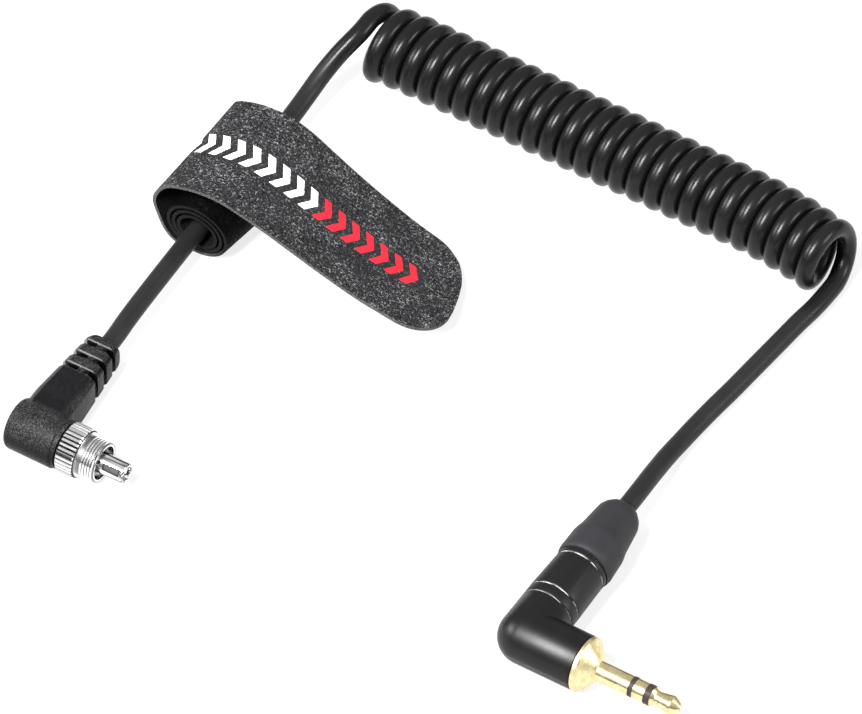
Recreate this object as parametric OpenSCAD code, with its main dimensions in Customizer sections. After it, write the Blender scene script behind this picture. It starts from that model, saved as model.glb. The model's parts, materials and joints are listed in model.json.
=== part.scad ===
// Coiled flash sync lead: a screw-lock sync plug, a curly cord and a right-angle 3.5 mm jack.
// Millimetres, +Z up. The lead lies on the plane z = 0. Both plugs point along +X, and the
// curly cord runs along +X behind them.
// The layout is drawn from the sync plug: its axis is the line y = 0, and the straight cord
// behind it runs along x = 0. It is then moved so that the bodies of the lead are centred.

/* [Cord] */
// Diameter of the cord
cord_d = 3.2; // [2.8:0.1:3.4]
// Diameter of the tube that draws the curls, slimmer than the cord to keep the curls apart
curl_tube_d = 2.8; // [2.2:0.02:2.82]
// Diameter of the curls, at the middle of the cord
curl_d = 10.2; // [9:0.1:13]
// Distance from one curl to the next
curl_pitch = 3.32; // [3.3:0.01:4.2]
// Extra spacing of the first and the last turn
curl_end_gap = 0.6; // [0.5:0.1:1]
// How far the straight cord draws the first curls towards the sync plug
curl_pull_in = 1; // [0:0.1:1.5]
// How far the straight cord draws the last curls towards the jack
curl_pull_out = 2.2; // [0:0.1:2.6]
// Whole turns, before the half turn that brings the cord down
curl_turns = 26; // [12:1:30]
// Distance from the sync plug's axis to the axis of the curls
curl_back = 99.2; // [92:0.2:130]

/* [Sync plug head] */
// Diameter of the moulded head
head_d = 8.9; // [8.6:0.1:11]
// Length of the moulded head, without its lip
head_len = 8.9; // [8.6:0.1:12]
// Rounding of the closed end of the head
head_round = 0.9; // [0.4:0.1:1.2]
// Length of the recessed lip in front of the head
lip_len = 0.7; // [0.4:0.1:1.2]
// Depth of the recess at the lip
lip_step = 0.3; // [0.2:0.05:0.5]
// Wall of the moulding round the premould
head_wall = 1.15; // [0.9:0.05:1.3]
// Wall of the premould
premould_wall = 0.6; // [0.5:0.05:0.8]

/* [Sync plug tail] */
// Length of the tail, from the plug's axis
tail_len = 20.6; // [19:0.1:27]
// Width of the tail where it meets the head
tail_root_w = 7.7; // [7.2:0.1:8]
// Width of the tail at its last rib
tail_end_w = 5.7; // [5.4:0.1:6.4]
// Width of the tail over its corners, as a share of its width
tail_corner = 1.2; // [1.1:0.05:1.3]
// Where the tail's middle line crosses the plug's axis
tail_x = 1.3; // [1:0.1:1.5]
// Sideways lean of the tail, in degrees
tail_lean = 1; // [0:0.5:5]
// Number of relief slots
slot_count = 3; // [2:1:3]
// Distance from one relief slot to the next
slot_pitch = 2.95; // [2.4:0.05:3.1]
// Width of a relief slot
slot_w = 1.1; // [0.6:0.1:1.4]
// Width of the four strips that join the ribs
slot_bridge = 1.8; // [1.2:0.1:2.2]
// How deep the strips lie below the ribs
slot_step = 0.35; // [0.2:0.05:0.5]
// Turn of the strips round the tail, in degrees
slot_turn = 15; // [0:1:20]
// Wall left round the cord in the slots
slot_wall = 0.5; // [0.4:0.05:0.6]

/* [Sync contacts] */
// Diameter of the slotted contact tube
sync_tube_d = 3.5; // [3.3:0.05:3.6]
// How far the tube stands out of the collar
sync_tube_out = 4.4; // [3.6:0.1:6]
// Bore of the contact tube
sync_bore_d = 2.5; // [2.3:0.05:2.6]
// Width of the two slots in the tube
sync_slot_w = 1.1; // [0.5:0.1:1.2]
// Length of the two slots in the tube
sync_slot_len = 3.1; // [2:0.1:3.4]
// Diameter of the centre pin
sync_pin_d = 1.1; // [0.9:0.05:1.3]
// Diameter of the barrel that the lock ring turns on
ring_seat_d = 4.2; // [4:0.05:4.4]

/* [Lock ring] */
// Diameter of the knurled grip
ring_d = 8.6; // [8:0.1:9.6]
// Length of the knurled grip
ring_len = 3.7; // [3:0.1:5]
// Number of knurl grooves
knurl_count = 34; // [24:1:36]
// Width of a knurl groove
knurl_w = 0.5; // [0.3:0.05:0.6]
// Depth of a knurl groove
knurl_depth = 0.35; // [0.2:0.05:0.4]
// Diameter of the threaded collar
collar_d = 7.4; // [7:0.1:7.8]
// Length of the threaded collar
collar_len = 3.4; // [2.6:0.1:4.2]
// Thread pitch
thread_pitch = 0.5; // [0.5:0.05:0.8]
// Hollow of the collar
collar_bore_d = 5.9; // [5.7:0.1:6.2]

/* [Jack housing] */
// Diameter of the elbow and the barrel
jack_d = 9.5; // [9.2:0.1:11.4]
// Length of the plug leg, from the barrel's axis to the gold collar
plug_leg_len = 10.6; // [10.2:0.1:13]
// Length of the neck, from the plug's axis
neck_len = 6; // [5.8:0.1:8]
// Wall of the housing
jack_wall = 0.85; // [0.75:0.05:0.95]
// Length of the barrel
barrel_len = 11; // [10.8:0.1:14]
// How much slimmer the barrel's radius is at the boot
barrel_taper = 0.2; // [0:0.05:0.25]
// Width of the band next to the elbow
band_w = 2.1; // [1.2:0.1:2.4]
// Width and depth of the fine grooves
groove = 0.2; // [0.1:0.05:0.3]
// Length of the boot
boot_len = 14; // [12:0.1:18]
// How far the boot stands out past the end of the barrel
boot_flare = 0.35; // [0.2:0.05:0.4]
// Diameter of the boot before its round end
boot_end_d = 7.8; // [7:0.1:8.2]
// Sideways lean of the boot, in degrees
boot_lean = 3; // [0:0.5:4]

/* [Jack contacts] */
// Diameter of the plug's shank
shank_d = 3.5; // [3.4:0.05:3.6]
// Thickness of the gold collar's rim
rim_len = 1; // [0.6:0.1:1.4]
// Length of the cone from the rim to the shank
cone_len = 2.2; // [1.6:0.1:2.8]
// Length of the sleeve contact
sleeve_len = 6; // [5:0.1:8]
// Width of the insulating band behind the ring contact
rear_band_w = 0.85; // [0.6:0.05:1.2]
// Length of the ring contact
ring_contact_len = 2.05; // [1.6:0.05:2.6]
// Width of the insulating band behind the tip contact
front_band_w = 1.2; // [0.6:0.05:1.4]
// Length of the tip contact
tip_len = 5.1; // [4.4:0.1:6]

/* [Cord tie] */
// Width of the strap
strap_w = 22; // [18:0.5:25]
// Thickness of the strap
strap_t = 0.6; // [0.4:0.05:0.65]
// Distance from the sync plug's axis to the strap's near edge
tie_front = 49.6; // [46:0.2:60]
// Turns of the tight roll
roll_turns = 2.875; // [2.875]
// Radius where the roll starts
roll_start_r = 2.75; // [2.7:0.05:3]
// Growth of the radius with each turn
roll_grow = 0.85; // [0.8:0.05:0.9]
// Rise from layer to layer under the roll
roll_rise = 0.72; // [0.7:0.01:0.8]
// Extra radius of the roll at its far edge
roll_flare = 1.5; // [0:0.1:1.6]
// Sideways shift of the roll at its far edge
roll_skew = 2.2; // [0:0.1:2.4]
// Radius of the flap's corners
flap_corner = 8; // [4:0.5:9]

/* [Hidden] */
$fn = 64;

// Clearances
running = 0.05;    // a turning fit, on the radius
fit = 0.02;        // a close fit, on the radius
seam = 0.15;       // a visible seam between two housings
through = 1;       // how far a cutter runs past what it cuts

// Sync plug, with its axis along +X at y = 0
head_r = head_d / 2;
sync_z = head_r;
head_back = -3;
head_front = head_back + head_len;
lip_end = head_front + lip_len;
cord_r = cord_d / 2;
tail_straight = 6;
premould_r = head_r - head_wall;
premould_back = head_back + head_wall;
premould_front = head_front - 0.6;
chamber_r = premould_r - premould_wall;
chamber_back = premould_back + premould_wall;
chamber_len = 4.1;
chamber_front = chamber_back + chamber_len;
cord_tail_start = 2.8;
ring_back = lip_end + 0.1;
ring_front = ring_back + ring_len;
collar_front = ring_front + collar_len;
sync_tip = collar_front + sync_tube_out;
tube_tail_d = 3.2;
tube_flange_d = 5.4;
tube_back = chamber_front - 1.6;
shoulder_back = ring_front - 0.8;
shoulder_len = 1;
counterbore_back = shoulder_back - 0.1;
sync_slot_rim = 0.7;
sync_slot_turn = -33;
insulator_recess = 1.1;
pin_recess = 0.6;
pin_back = chamber_back + 0.8;
wire_d = 0.7;

// Jack, with its plug leg along +X and its barrel along +Y
coil_start_x = 3.75;
curl_r = curl_d / 2;
coil_z = curl_r + cord_r;
coil_end_x = coil_start_x + (curl_turns + 0.5) * curl_pitch;
jack_x = coil_end_x - 0.9;
jack_y = 4.6;
jack_r = jack_d / 2;
jack_z = jack_r;
spigot_r = jack_r - jack_wall - running;
barrel_bore_r = jack_r - jack_wall;
barrel_end = neck_len + barrel_len;
barrel_end_r = jack_r - barrel_taper;
spigot_end = neck_len + 4;
insert_r = jack_r - 1.2;
neck_bore_r = 2.9;
cover_top = -0.85;
cover_side = 1.5;
insert_back = 6;
chuck_start = spigot_end + 0.5;
chuck_end = barrel_end - 0.4;
chuck_slot_w = 0.6;
chuck_slot_len = 4;
shank_r = shank_d / 2;
cone_start = plug_leg_len + rim_len;
shank_start = cone_start + cone_len;
sleeve_end = shank_start + sleeve_len;
ring_start = sleeve_end + rear_band_w;
ring_end = ring_start + ring_contact_len;
tip_start = ring_end + front_band_w;
tip_end = tip_start + tip_len;
rear_tube_r = 1.25;
ring_tube_r = 0.95;
front_tube_r = 0.7;
tip_rod_r = 0.45;
tag_t = 0.4;
tip_tag_x = 2.8;
ring_tag_x = 4.4;
ground_tag_x = insert_back - tag_t - fit;
jack_tail_start = 8;

// Strap outlines, as [x, z] from the cord: the loose loop that leaves the roll, then the flap
loop_outline = [
    [-1.6, 0.3], [-3.4, 0.7], [-4.9, 2.4], [-6.3, 5.4], [-7.4, 8.1], [-7.1, 10.3],
    [-5.9, 12.2], [-4.2, 13.4], [-1.2, 14.5], [1.6, 15], [4.4, 15.1], [7.4, 14.6]
];
flap_near = [
    [8, 14.4], [13.3, 12.8], [17.4, 11.3], [22.3, 9.5], [27, 8], [31.5, 6.9],
    [35, 6.3], [38, 5.9], [40, 5.7], [41.5, 5.5], [42.7, 5.4], [43.6, 5.3], [44, 5.3]
];
flap_far = [
    [8, 14.4], [12.7, 11.8], [16.3, 10.2], [20.7, 8.4], [24.8, 6.7], [28.8, 5.1],
    [31.9, 4], [34.6, 3.1], [36.3, 2.6], [37.7, 2.3], [38.7, 2.1], [39.5, 2], [39.9, 2]
];
hinge_gap = 0.08;
roll_start_angle = 225;
roll_steps = 24;
roll_width_ratio = 1.15;
roll_x = 0.2;
tie_back = tie_front + strap_w;

// Routes of the straight cord, with z measured up from the floor
sync_route_middle = [
    [0.6, 27.5, 4.45], [0.42, 31, 4.45], [0.28, 35, 4.45], [0.14, 40, 4.45], [0, 46, 4.45],
    [0, 52, 4.45], [0, 58, 4.45], [0, 64, 4.45], [0, 70, 4.45], [0, 75, 4.45],
    [-0.1, 79.5, 4.6], [-0.1, 83.6, 5.15], [0.35, 87.6, 6.8], [1.35, 90.9, 9],
    [2.35, 93.3, 10.8]
];
jack_route_middle = [
    [-0.8, 38.6, 4.65], [-1, 41.4, 4.3], [-1.3, 44.2, 3.75], [-1.62, 47.2, 3.05],
    [-1.87, 50.7, 2.4], [-1.9, 55, 1.8],
    [-1.7, 59.5, 1.6], [-1.3, 64, 1.6], [-0.8, 68.5, 1.6], [-0.4, 73, 1.6], [0, 77.5, 1.6],
    [0.4, 82, 1.6], [0.8, 86.5, 1.6], [1.3, 90.5, 1.6]
];
straight_sides = 8;
curl_sides = 6;
rings_per_curl = 8;

// Vector helpers
function unit(v) = v / norm(v);
function last(list) = list[len(list) - 1];
function near(list, i) = list[max(0, min(len(list) - 1, i))];
function along(points, i) = unit(near(points, i + 1) - near(points, i - 1));

// Points of a swept tube: one ring of points for each point of the route.
// first and final are the directions that the ends face.
function route_way(points, i, first, final) =
    i == 0 ? unit(first) : i == len(points) - 1 ? unit(final) : along(points, i);
function ring_of(centre, way, reference, r, sides) =
    let (side = unit(cross(way, reference)), up = cross(side, way))
    [for (k = [0:sides - 1])
        let (a = 360 * (k + 0.5) / sides)
        centre + r * (cos(a) * side + sin(a) * up)];
function tube_points(points, first, final, reference, r, sides) =
    [for (i = [0:len(points) - 1])
        each ring_of(points[i], route_way(points, i, first, final), reference, r, sides)];

// Triangles that join rings of points into one closed skin
function skin_faces(rings, sides) = concat(
    [for (k = [1:sides - 2]) [0, k + 1, k]],
    [for (i = [0:rings - 2], k = [0:sides - 1])
        let (a = i * sides + k, b = i * sides + (k + 1) % sides)
        each [[a, b, a + sides], [b, b + sides, a + sides]]],
    let (top = (rings - 1) * sides)
    [for (k = [1:sides - 2]) [top, top + k, top + k + 1]]
);

module skin(points, sides) {
    polyhedron(points, skin_faces(len(points) / sides, sides));
}

// Radius of a tube whose flat faces lie as far out as the round cord's surface on average
function facet_r(r, sides) = r * (1 + 1 / cos(180 / sides)) / 2;

// Sync tail: its frame leans about the plug's axis
function tail_point(p) = [
    tail_x + p[0] * cos(tail_lean) - p[1] * sin(tail_lean),
    p[0] * sin(tail_lean) + p[1] * cos(tail_lean),
    sync_z + p[2]
];
tail_way = [-sin(tail_lean), cos(tail_lean), 0];
sync_exit = tail_point([0, tail_len, 0]);

// Curls, from a top point, falling away to the back, then along the floor and up the front
function curl_x(turn) =
    let (first = max(0, 1 - turn), final = max(0, turn - curl_turns + 0.5))
    coil_start_x + turn * curl_pitch + curl_end_gap * (pow(final, 2) - pow(first, 2));
function curl_pull(turn) =
    let (first = max(0, 1 - turn / 2.2), final = max(0, 1 - (curl_turns + 0.5 - turn) / 5.5))
    curl_pull_in * pow(first, 2) + curl_pull_out * pow(final, 2);
function curl_point(turn) = [
    curl_x(turn),
    curl_back - curl_pull(turn) + curl_r * sin(360 * turn),
    coil_z + curl_r * cos(360 * turn)
];
way_in = [0, 1, 0];
way_out = [0, -1, 0];
curl_points = concat(
    [curl_point(0) - cord_d * way_in],
    [for (i = [0:rings_per_curl * (curl_turns + 0.5)]) curl_point(i / rings_per_curl)],
    [curl_point(curl_turns + 0.5) + cord_d * way_out]
);
curl_in = curl_points[0];
curl_out = last(curl_points);
curl_skin = tube_points(curl_points, way_in, way_out, [1, 0, 0], curl_tube_d / 2, curl_sides);

// Least gap between a curl and its neighbours: between points of the middle line, four to a
// ring, less the tube's diameter over its corners
steps_per_ring = 4;
middle_line = [
    for (i = [0:len(curl_points) - 2], k = [0:steps_per_ring - 1])
        curl_points[i] + (curl_points[i + 1] - curl_points[i]) * k / steps_per_ring
];
curl_gap = min([
    for (i = [0:len(middle_line) - 1], d = [5 * steps_per_ring:11 * steps_per_ring])
        if (i + d < len(middle_line)) norm(middle_line[i] - middle_line[i + d])
]) - curl_tube_d;
echo("least gap between the curls", curl_gap);

// Straight stretches: each starts square to its plug and ends square to the curls
sync_route = concat(
    [sync_exit, sync_exit + cord_d * tail_way],
    sync_route_middle,
    [curl_in]
);
boot_way = [-sin(boot_lean), cos(boot_lean), 0];
jack_exit = [jack_x, jack_y + barrel_end, jack_z] + (seam + boot_len) * boot_way;
jack_route = concat(
    [jack_exit],
    [for (p = jack_route_middle) [jack_x + p[0], p[1], p[2]]],
    [curl_out]
);

// Strap: the roll is a spiral whose layers press together under it and open above it
function roll_r(turn, far) = roll_start_r + roll_grow * turn + far * roll_flare * turn / roll_turns;
function roll_point(turn, far) =
    let (a = roll_start_angle - 360 * turn, r = roll_r(turn, far))
    [
        roll_x + far * roll_skew * turn / roll_turns + roll_width_ratio * r * cos(a),
        strap_t / 2 + roll_rise * (roll_turns - turn) + r * (1 + sin(a))
    ];
function roll_outline(far) = concat(
    [for (i = [0:roll_steps * roll_turns]) roll_point(i / roll_steps, far)],
    loop_outline
);

// Thickness direction of a strap outline at one of its points
function strap_normal(outline, i) =
    let (t = near(outline, i + 1) - near(outline, i - 1))
    [-t[1], t[0]] / norm(t);
// How far the flap's edge is drawn in, to round its corners
function corner_inset(x) =
    let (over = x - (last(flap_near)[0] - flap_corner))
    over <= 0 ? 0 : flap_corner - sqrt(max(0, pow(flap_corner, 2) - pow(over, 2)));
function strap_ring(near_line, far_line, i, inset) =
    let (
        n = strap_normal(near_line, i) * strap_t / 2,
        f = strap_normal(far_line, i) * strap_t / 2,
        p = near_line[i],
        q = far_line[i]
    )
    [
        [p[0] - n[0], tie_front + inset, p[1] - n[1]],
        [p[0] + n[0], tie_front + inset, p[1] + n[1]],
        [q[0] + f[0], tie_back - inset, q[1] + f[1]],
        [q[0] - f[0], tie_back - inset, q[1] - f[1]]
    ];
roll_near = roll_outline(0);
roll_far = roll_outline(1);
loop_start = len(roll_near) - len(loop_outline) - 1;
roll_points = [for (i = [0:loop_start]) each strap_ring(roll_near, roll_far, i, 0)];
loop_points = [
    for (i = [loop_start:len(roll_near) - 1]) each strap_ring(roll_near, roll_far, i, 0)
];
flap_start = last(loop_outline) + hinge_gap * unit(flap_near[0] - last(loop_outline));
flap_line_near = concat([flap_start], flap_near);
flap_line_far = concat([flap_start], flap_far);
flap_points = [
    for (i = [0:len(flap_line_near) - 1])
        each strap_ring(
            flap_line_near, flap_line_far, i,
            min(strap_w / 2 - 1, corner_inset(flap_line_near[i][0]))
        )
];

// Centre of everything but the cord
low_x = min([for (p = loop_points) p[0]]);
high_x = jack_x + tip_end;
low_y = -head_r;
high_y = max(tie_back, jack_exit[1]);

module in_frame() {
    translate([-(low_x + high_x) / 2, -(low_y + high_y) / 2, 0]) children();
}

// Turned pieces, from an outline of [radius, distance along the axis]
module turned(outline) {
    rotate_extrude() polygon(outline);
}

// Frames of the two plugs: +Z of the children becomes the axis
module sync_axis(x = 0) {
    in_frame() translate([x, 0, sync_z]) rotate([0, 90, 0]) children();
}

module sync_tail_axis(y = 0) {
    in_frame()
        translate([tail_x, 0, sync_z]) rotate([0, 0, tail_lean]) translate([0, y, 0])
        rotate([-90, 0, 0]) children();
}

module plug_axis(x = 0) {
    in_frame() translate([jack_x + x, jack_y, jack_z]) rotate([0, 90, 0]) children();
}

module barrel_axis(y = 0) {
    in_frame() translate([jack_x, jack_y + y, jack_z]) rotate([-90, 0, 0]) children();
}

module boot_axis(y = 0) {
    in_frame()
        translate([jack_x, jack_y + barrel_end, jack_z]) rotate([0, 0, boot_lean])
        translate([0, y, 0]) rotate([-90, 0, 0]) children();
}

module rod(r, length) {
    cylinder(r = r, h = length);
}

// One insulated wire, swept along its own few points
module wire(points, first, final) {
    skin(tube_points(points, first, final, [0, 0, 1], wire_d / 2, curl_sides), curl_sides);
}

/* Sync plug */

// Half of the tail's width at a distance from the plug's axis
function tail_half(y) =
    let (share = max(0, y - tail_straight) / (tail_len - tail_straight))
    (tail_root_w + (tail_end_w - tail_root_w) * share) / 2;

module relief_slots() {
    first = tail_len - 2.2 - (slot_count - 1) * slot_pitch;
    for (i = [0:slot_count - 1]) {
        middle = first + i * slot_pitch;
        reach = tail_half(middle) - slot_step;
        sync_tail_axis(middle - slot_w / 2)
            difference() {
                rod(head_r + through, slot_w);
                translate([0, 0, -through]) rod(cord_r + slot_wall, slot_w + 2 * through);
                for (turn = [0, 90])
                    rotate([0, 0, turn + slot_turn])
                        translate([-slot_bridge / 2, -reach, -through])
                        cube([slot_bridge, 2 * reach, slot_w + 2 * through]);
            }
    }
}

module head_form() {
    round_steps = [for (a = [0:15:90])
        [head_r - head_round + head_round * sin(a), head_back + head_round - head_round * cos(a)]];
    sync_axis()
        turned(concat(
            [[0, head_back]],
            round_steps,
            [[head_r, head_front - 0.2], [head_r - 0.2, head_front]],
            [[head_r - lip_step, head_front], [head_r - lip_step, lip_end], [0, lip_end]]
        ));
}

// A cone whose four sides are cut flat
module tail_form() {
    end_round = 0.7;
    corner = [for (y = [0, tail_straight, tail_len]) tail_corner * tail_half(y)];
    sync_tail_axis()
        intersection() {
            turned([
                [0, 0],
                [corner[0], 0],
                [corner[1], tail_straight],
                [corner[2] + 0.05, tail_len - end_round],
                [corner[2] - 0.2, tail_len - 0.2],
                [corner[2] - end_round, tail_len],
                [0, tail_len]
            ]);
            skin(
                [for (y = [-through, tail_straight, tail_len + through])
                    each ring_of(
                        [0, 0, y], [0, 0, 1], [1, 0, 0], sqrt(2) * tail_half(y), 4
                    )],
                4
            );
        }
}

module premould_form() {
    sync_axis(premould_back) rod(premould_r, premould_front - premould_back);
}

module cord_bore() {
    sync_tail_axis() rod(cord_r + fit, tail_len + through);
}

module sync_overmould() {
    color("#26272a")
        difference() {
            union() {
                head_form();
                tail_form();
            }
            premould_form();
            cord_bore();
            relief_slots();
            sync_axis(premould_front) rod(ring_seat_d / 2, lip_end);
        }
}

module sync_inner_mould() {
    color("#c9c4b4")
        difference() {
            premould_form();
            sync_axis(chamber_back) rod(chamber_r, chamber_len);
            cord_bore();
            sync_axis(tube_back) rod(ring_seat_d / 2, head_len);
            sync_axis(chamber_front) rod(tube_flange_d / 2, 1);
        }
}

// Slotted tube: a soldered tail, a flange in the premould, a barrel for the lock ring, a
// shoulder that keeps the ring on, and the contact itself
module sync_contact_tube() {
    seat_r = ring_seat_d / 2;
    tube_r = sync_tube_d / 2;
    bore_r = sync_bore_d / 2;
    color("silver")
        difference() {
            sync_axis()
                turned([
                    [bore_r, tube_back],
                    [tube_tail_d / 2, tube_back],
                    [tube_tail_d / 2, chamber_front],
                    [tube_flange_d / 2, chamber_front],
                    [tube_flange_d / 2, chamber_front + 1],
                    [seat_r, chamber_front + 1],
                    [seat_r, shoulder_back],
                    [tube_flange_d / 2, shoulder_back],
                    [tube_flange_d / 2, shoulder_back + shoulder_len],
                    [tube_r, shoulder_back + shoulder_len],
                    [tube_r, sync_tip - 0.2],
                    [tube_r - 0.2, sync_tip],
                    [bore_r, sync_tip]
                ]);
            sync_axis(sync_tip - sync_slot_rim - sync_slot_len)
                rotate([0, 0, sync_slot_turn])
                translate([-sync_slot_w / 2, -sync_tube_d, 0])
                cube([sync_slot_w, 2 * sync_tube_d, sync_slot_len]);
        }
}

module sync_insulator() {
    start = tube_back - 0.6;
    length = sync_tip - insulator_recess - start;
    color("#6f7073")
        sync_axis(start)
        difference() {
            rod(sync_bore_d / 2, length);
            translate([0, 0, -through]) rod(sync_pin_d / 2, length + 2 * through);
        }
}

module sync_centre_pin() {
    r = sync_pin_d / 2;
    tip = sync_tip - pin_recess;
    color("#d8c37a")
        sync_axis()
        turned([[0, pin_back], [r, pin_back], [r, tip - 0.3], [r - 0.3, tip], [0, tip]]);
}

module sync_signal_wire() {
    pin_x = pin_back + 0.7;
    color("#b03028")
        in_frame()
        wire(
            [
                tail_point([-0.6, cord_tail_start, 0]),
                [pin_x + 0.1, 1.7, sync_z],
                [pin_x, sync_pin_d / 2 + 0.05, sync_z]
            ],
            -tail_way, [0, -1, 0]
        );
}

module sync_ground_wire() {
    seat_x = tube_back + 0.6;
    color("#e6e6e2")
        in_frame()
        wire(
            [
                tail_point([0.6, cord_tail_start, 0]),
                [seat_x, 2.1, sync_z + 0.1],
                [seat_x, tube_tail_d / 2 + 0.05, sync_z + 0.1]
            ],
            -tail_way, [0, -1, 0]
        );
}

// End of the cord's jacket, inside the moulding
module sync_cord_tail() {
    color("#1b1b1c")
        sync_tail_axis(cord_tail_start)
        rod(cord_r, tail_len - cord_tail_start);
}

module knurl() {
    r = ring_d / 2;
    linear_extrude(height = ring_len)
        difference() {
            circle(r = r);
            for (i = [0:knurl_count - 1])
                rotate(360 * i / knurl_count)
                    polygon([
                        [r - knurl_depth, 0],
                        [r + knurl_depth, -knurl_w],
                        [r + knurl_depth, knurl_w]
                    ]);
        }
}

module collar_thread() {
    crest = collar_d / 2;
    root = crest - 0.55 * thread_pitch;
    turns = floor((collar_len - 0.6) / thread_pitch);
    start = collar_len - 0.2 - turns * thread_pitch;
    turned(concat(
        [[0, 0], [root, 0], [root, start]],
        [for (i = [0:turns - 1]) each [
            [root, start + i * thread_pitch],
            [crest, start + (i + 0.4) * thread_pitch],
            [crest, start + (i + 0.6) * thread_pitch]
        ]],
        [[root, collar_len - 0.2], [root, collar_len], [0, collar_len]]
    ));
}

module lock_ring() {
    edge = ring_d / 2;
    bevel = 0.4;
    color("#d9dadc")
        difference() {
            union() {
                intersection() {
                    sync_axis(ring_back) knurl();
                    sync_axis(ring_back)
                        turned([
                            [0, 0], [edge - bevel, 0], [edge, bevel],
                            [edge, ring_len - bevel], [edge - bevel, ring_len], [0, ring_len]
                        ]);
                }
                sync_axis(ring_front) collar_thread();
            }
            sync_axis(ring_back - through) rod(ring_seat_d / 2 + running, ring_len + 2 * through);
            sync_axis(counterbore_back) rod(collar_bore_d / 2, collar_front);
        }
}

/* Cord */

module cord_sync_end() {
    color("#1b1b1c")
        in_frame()
        skin(
            tube_points(
                sync_route, tail_way, way_in, [0, 0, 1],
                facet_r(cord_r, straight_sides), straight_sides
            ),
            straight_sides
        );
}

module curly_cord() {
    color("#1b1b1c") in_frame() skin(curl_skin, curl_sides);
}

module cord_jack_end() {
    color("#1b1b1c")
        in_frame()
        skin(
            tube_points(
                jack_route, boot_way, -way_out, [0, 0, 1],
                facet_r(cord_r, straight_sides), straight_sides
            ),
            straight_sides
        );
}

/* Jack */

// Plug leg with its round corner
module elbow_outer() {
    plug_axis() sphere(r = jack_r);
    plug_axis() rod(jack_r, plug_leg_len);
}

module elbow_chamber() {
    plug_axis() sphere(r = insert_r);
    plug_axis() rod(insert_r, plug_leg_len + through);
}

// Block that holds the snap-in cover: below cover_top and in front of cover_side
module cover_block(grow) {
    in_frame()
        translate([
            jack_x - jack_d, jack_y - jack_d, jack_z - jack_d
        ])
        cube([
            jack_d + plug_leg_len + through,
            jack_d + cover_side + grow,
            jack_d + cover_top + grow
        ]);
}

module jack_elbow() {
    color("#202124")
        difference() {
            union() {
                elbow_outer();
                barrel_axis() rod(jack_r, neck_len);
                barrel_axis() rod(spigot_r, spigot_end);
            }
            elbow_chamber();
            barrel_axis() rod(neck_bore_r, spigot_end + through);
            cover_block(seam);
        }
}

module jack_elbow_cover() {
    color("#202124")
        difference() {
            intersection() {
                elbow_outer();
                cover_block(0);
            }
            elbow_chamber();
        }
}

module jack_barrel() {
    color("#202124")
        barrel_axis()
        turned([
            [barrel_bore_r, neck_len],
            [jack_r - groove, neck_len],
            [jack_r, neck_len + groove],
            [jack_r, neck_len + band_w - groove],
            [jack_r - groove, neck_len + band_w],
            [jack_r, neck_len + band_w + groove],
            [barrel_end_r, barrel_end - 1.1 - groove],
            [barrel_end_r - groove, barrel_end - 1.1],
            [barrel_end_r, barrel_end - 1.1 + groove],
            [barrel_end_r, barrel_end - groove],
            [barrel_end_r - groove, barrel_end],
            [barrel_bore_r, barrel_end]
        ]);
}

// Plastic collet that grips the cord inside the barrel
module jack_chuck() {
    length = chuck_end - chuck_start;
    outer = barrel_bore_r - running;
    color("#3a3b3e")
        barrel_axis(chuck_start)
        difference() {
            turned([[0, 0], [outer - 0.6, 0], [outer, 0.8], [outer, length], [0, length]]);
            translate([0, 0, -through]) rod(cord_r + fit, length + 2 * through);
            for (turn = [0, 90])
                rotate([0, 0, turn])
                    translate([-chuck_slot_w / 2, -jack_r, -through])
                    cube([chuck_slot_w, jack_d, chuck_slot_len + through]);
        }
}

// It starts square to the barrel, and its end is a ball, cut off where the cord comes out
module jack_boot() {
    root = barrel_end_r + boot_flare;
    tip = boot_end_d / 2;
    mouth = cord_r + 0.3;
    ball = boot_len - sqrt(tip * tip - mouth * mouth);
    color("#2c2d30")
        difference() {
            boot_axis(seam)
                turned(concat(
                    [
                        [0, -through], [root - 0.25, -through], [root - 0.25, 0.1],
                        [root - 0.08, 0.4], [root, 1], [root - 0.1, 3], [root - 0.16, 4.8],
                        [root - 0.3, 5.6], [root - 0.48, 6.3], [root - 0.6, 7]
                    ],
                    [for (a = [0:15:45]) [tip * cos(a), ball + tip * sin(a)]],
                    [[mouth, boot_len], [0, boot_len]]
                ));
            boot_axis(-2 * through) rod(cord_r + fit, boot_len + 4 * through);
            barrel_axis(barrel_end - 2 * through) rod(jack_d, seam + 2 * through);
        }
}

// Gold body: a threaded seat in the elbow, a rim, a cone and the sleeve
module jack_sleeve_contact() {
    color("#e2c46c")
        plug_axis()
        turned([
            [rear_tube_r, insert_back],
            [insert_r - fit, insert_back],
            [insert_r - fit, plug_leg_len],
            [jack_r - 0.1, plug_leg_len],
            [jack_r, plug_leg_len + 0.2],
            [jack_r, cone_start - 0.2],
            [jack_r - 0.2, cone_start],
            [shank_r + 0.5, shank_start - 0.35],
            [shank_r, shank_start],
            [shank_r, sleeve_end],
            [rear_tube_r, sleeve_end]
        ]);
}

// An insulating or contact tube: a long thin tube whose front end is a band of the shank
module shank_layer(bore, tube, back, band_start, band_end) {
    plug_axis()
        turned([
            [bore, back], [tube, back], [tube, band_start],
            [shank_r, band_start], [shank_r, band_end], [bore, band_end]
        ]);
}

module jack_rear_insulator() {
    color("#1f1c1a") shank_layer(ring_tube_r, rear_tube_r, insert_back - 0.8, sleeve_end, ring_start);
}

module jack_ring_contact() {
    color("#e2c46c") shank_layer(front_tube_r, ring_tube_r, ring_tag_x, ring_start, ring_end);
}

module jack_front_insulator() {
    color("#1f1c1a") shank_layer(tip_rod_r, front_tube_r, ring_tag_x - 0.8, ring_end, tip_start);
}

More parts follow.
